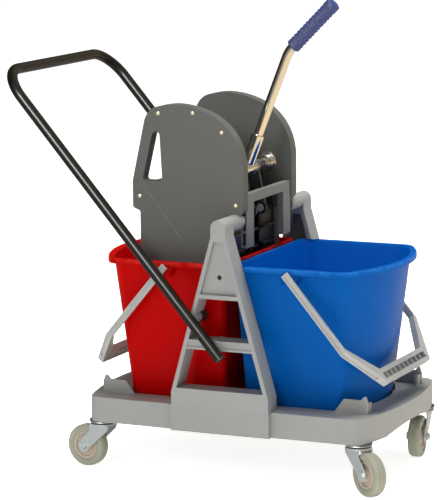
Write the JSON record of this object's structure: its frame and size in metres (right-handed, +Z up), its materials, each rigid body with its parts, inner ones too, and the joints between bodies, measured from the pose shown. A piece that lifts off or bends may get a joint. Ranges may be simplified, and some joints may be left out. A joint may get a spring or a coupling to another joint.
{
  "type": "double mop bucket trolley",
  "caption": "Cleaning trolley on swivel casters: a red and a blue lift-out bucket on a grey moulded base, a lever-operated jaw wringer between A-frame towers and a bent push handle.",
  "frame": {"origin": "on the floor under the middle of the base", "axes": "+X along the trolley towards the blue bucket, +Y across it to the rear, +Z up; the push handle is at -X"},
  "size_m": [0.7652, 0.4538, 0.8794],
  "materials": {
    "base_grey": "light grey moulded plastic, satin",
    "tower_grey": "grey moulded plastic, satin",
    "bucket_red": "red moulded plastic, soft gloss",
    "bucket_blue": "blue moulded plastic, soft gloss",
    "bail_grey": "grey moulded plastic",
    "wringer_grey": "dark grey moulded plastic, fine grain",
    "jaw_black": "black moulded plastic",
    "black_paint": "black powder coat, satin",
    "black_plastic": "black moulded plastic",
    "chrome_trim": "bright chrome plate",
    "zinc": "pressed steel, bright zinc plate",
    "zinc_bolt": "zinc plated bolts and nuts",
    "dark_steel": "dark oiled steel",
    "brass_screw": "yellow passivated screws",
    "tyre_grey": "grey-green rubber",
    "hub_beige": "pinkish beige plastic",
    "grip_blue": "blue ribbed soft grip"
  },
  "bodies": {
    "chassis": {"base": "base_grey", "tower_front": "tower_grey", "tower_rear": "tower_grey", "tower_bolts": "zinc_bolt", "caster_stems": "zinc", "caster_races": "dark_steel", "push_handle": "black_paint", "handle_plugs": "black_plastic", "handle_bolts": "zinc_bolt", "handle_knobs": "black_plastic"},
    "caster_lf": {"fork_lf": "zinc", "axle_lf": "zinc_bolt"},
    "wheel_lf": {"tyre_lf": "tyre_grey", "hub_lf": "hub_beige"},
    "caster_rf": {"fork_rf": "zinc", "axle_rf": "zinc_bolt"},
    "wheel_rf": {"tyre_rf": "tyre_grey", "hub_rf": "hub_beige"},
    "caster_rr": {"fork_rr": "zinc", "axle_rr": "zinc_bolt"},
    "wheel_rr": {"tyre_rr": "tyre_grey", "hub_rr": "hub_beige"},
    "caster_lr": {"fork_lr": "zinc", "axle_lr": "zinc_bolt"},
    "wheel_lr": {"tyre_lr": "tyre_grey", "hub_lr": "hub_beige"},
    "bucket_red": {"bucket_red": "bucket_red"},
    "bucket_blue": {"bucket_blue": "bucket_blue"},
    "bail_red": {"bail_red": "bail_grey"},
    "bail_blue": {"bail_blue": "bail_grey"},
    "wringer": {"side_shell_front": "wringer_grey", "side_shell_rear": "wringer_grey", "side_cover_front": "wringer_grey", "side_cover_rear": "wringer_grey", "side_screws": "brass_screw", "yoke": "wringer_grey", "drain_wall": "wringer_grey", "hinge_rod": "zinc", "shaft_bushes": "chrome_trim", "return_spring": "zinc"},
    "lever": {"lever_shaft": "chrome_trim", "cranks": "dark_steel", "crank_rollers": "zinc", "lever_socket": "chrome_trim", "lever_tube": "chrome_trim", "lever_grip": "grip_blue"},
    "jaw": {"jaw": "jaw_black"}
  },
  "joints": [
    {"name": "swivel_lf", "type": "hinge", "parent": "chassis", "child": "caster_lf", "pos_m": [-0.258, -0.167, 0], "axis": [0, 0, 1], "continuous": true},
    {"name": "roll_lf", "type": "hinge", "parent": "caster_lf", "child": "wheel_lf", "pos_m": [-0.29185, -0.1638, 0.04], "axis": [-0.0941, -0.9956, 0], "continuous": true},
    {"name": "swivel_rf", "type": "hinge", "parent": "chassis", "child": "caster_rf", "pos_m": [0.258, -0.167, 0], "axis": [0, 0, 1], "continuous": true},
    {"name": "roll_rf", "type": "hinge", "parent": "caster_rf", "child": "wheel_rf", "pos_m": [0.28622, -0.18596, 0.04], "axis": [0.5577, 0.83, 0], "continuous": true},
    {"name": "swivel_rr", "type": "hinge", "parent": "chassis", "child": "caster_rr", "pos_m": [0.258, 0.167, 0], "axis": [0, 0, 1], "continuous": true},
    {"name": "roll_rr", "type": "hinge", "parent": "caster_rr", "child": "wheel_rr", "pos_m": [0.2622, 0.13326, 0.04], "axis": [0.9923, 0.1236, 0], "continuous": true},
    {"name": "swivel_lr", "type": "hinge", "parent": "chassis", "child": "caster_lr", "pos_m": [-0.258, 0.167, 0], "axis": [0, 0, 1], "continuous": true},
    {"name": "roll_lr", "type": "hinge", "parent": "caster_lr", "child": "wheel_lr", "pos_m": [-0.28683, 0.18502, 0.04], "axis": [-0.5299, -0.848, 0], "continuous": true},
    {"name": "bucket_blue_lift", "type": "slide", "parent": "chassis", "child": "bucket_blue", "axis": [0.3714, 0, 0.9285], "range_m": [0, 0.12]},
    {"name": "bucket_red_lift", "type": "slide", "parent": "chassis", "child": "bucket_red", "axis": [0, 0, 1], "range_m": [0, 0.03]},
    {"name": "wringer_lift", "type": "slide", "parent": "chassis", "child": "wringer", "axis": [0, 0, 1], "range_m": [0, 0.2]},
    {"name": "bail_blue_swing", "type": "hinge", "parent": "bucket_blue", "child": "bail_blue", "pos_m": [0.125, 0, 0.3885], "axis": [0, -1, 0], "range_deg": [0, 140]},
    {"name": "bail_red_swing", "type": "hinge", "parent": "bucket_red", "child": "bail_red", "pos_m": [-0.125, 0, 0.3885], "axis": [0, 1, 0], "range_deg": [0, 100]},
    {"name": "lever_press", "type": "hinge", "parent": "wringer", "child": "lever", "pos_m": [-0.033, 0, 0.5595], "axis": [0, 1, 0], "range_deg": [0, 60], "stiffness_Nm_per_rad": 1.2, "springref_deg": -68.75},
    {"name": "jaw_swing", "type": "hinge", "parent": "wringer", "child": "jaw", "pos_m": [-0.052, 0, 0.3635], "axis": [0, -1, 0], "range_deg": [0, 24]}
  ],
  "couplings": [
    {"joint": "jaw_swing", "follows": "lever_press", "ratio": 0.4}
  ]
}
